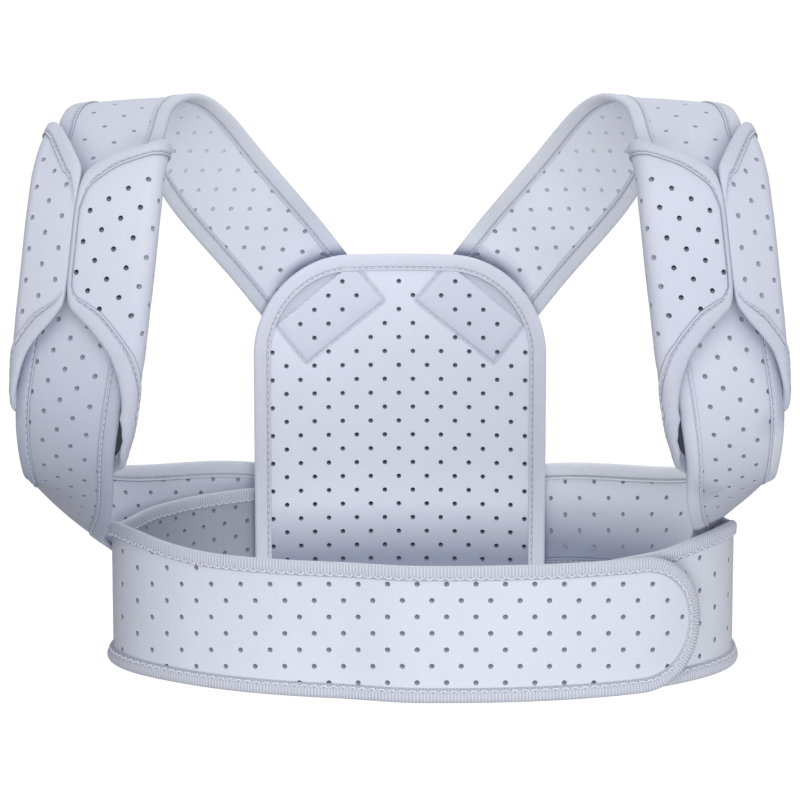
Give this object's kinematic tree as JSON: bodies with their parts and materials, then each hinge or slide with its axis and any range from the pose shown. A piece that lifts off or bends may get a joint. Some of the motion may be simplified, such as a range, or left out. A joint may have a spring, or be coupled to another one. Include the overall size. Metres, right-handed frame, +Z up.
{
  "type": "clavicle brace",
  "caption": "Soft clavicle and posture brace: perforated back panel, padded shoulder straps that cross under the arms, and a lapped chest belt, all bound with folded tape.",
  "frame": {"origin": "midway between the two shoulders, level with the underside of the straps' crests", "axes": "+Z up, -Y the way the wearer faces, +X to the right as seen from the front"},
  "size_m": [0.358, 0.2238, 0.2698],
  "materials": {
    "cloth": "matt perforated foam cloth",
    "binding": "matt folded tape",
    "belt_cloth": "matt perforated foam cloth",
    "belt_tape": "ribbed elastic tape",
    "hook": "matt hook tape"
  },
  "bodies": {
    "root": {"left_strap": "cloth", "right_strap": "cloth", "left_strap_outer_binding": "binding", "left_strap_inner_binding": "binding", "right_strap_outer_binding": "binding", "right_strap_inner_binding": "binding", "left_shoulder_pad": "cloth", "right_shoulder_pad": "cloth", "left_shoulder_pad_outer_binding": "binding", "left_shoulder_pad_inner_binding": "binding", "right_shoulder_pad_outer_binding": "binding", "right_shoulder_pad_inner_binding": "binding", "back_panel": "cloth", "back_panel_binding": "binding", "left_belt": "belt_cloth", "right_belt": "belt_cloth", "left_belt_binding": "belt_tape", "right_belt_top_binding": "belt_tape", "right_belt_bottom_binding": "belt_tape", "hook_fastener": "hook"}
  },
  "joints": []
}
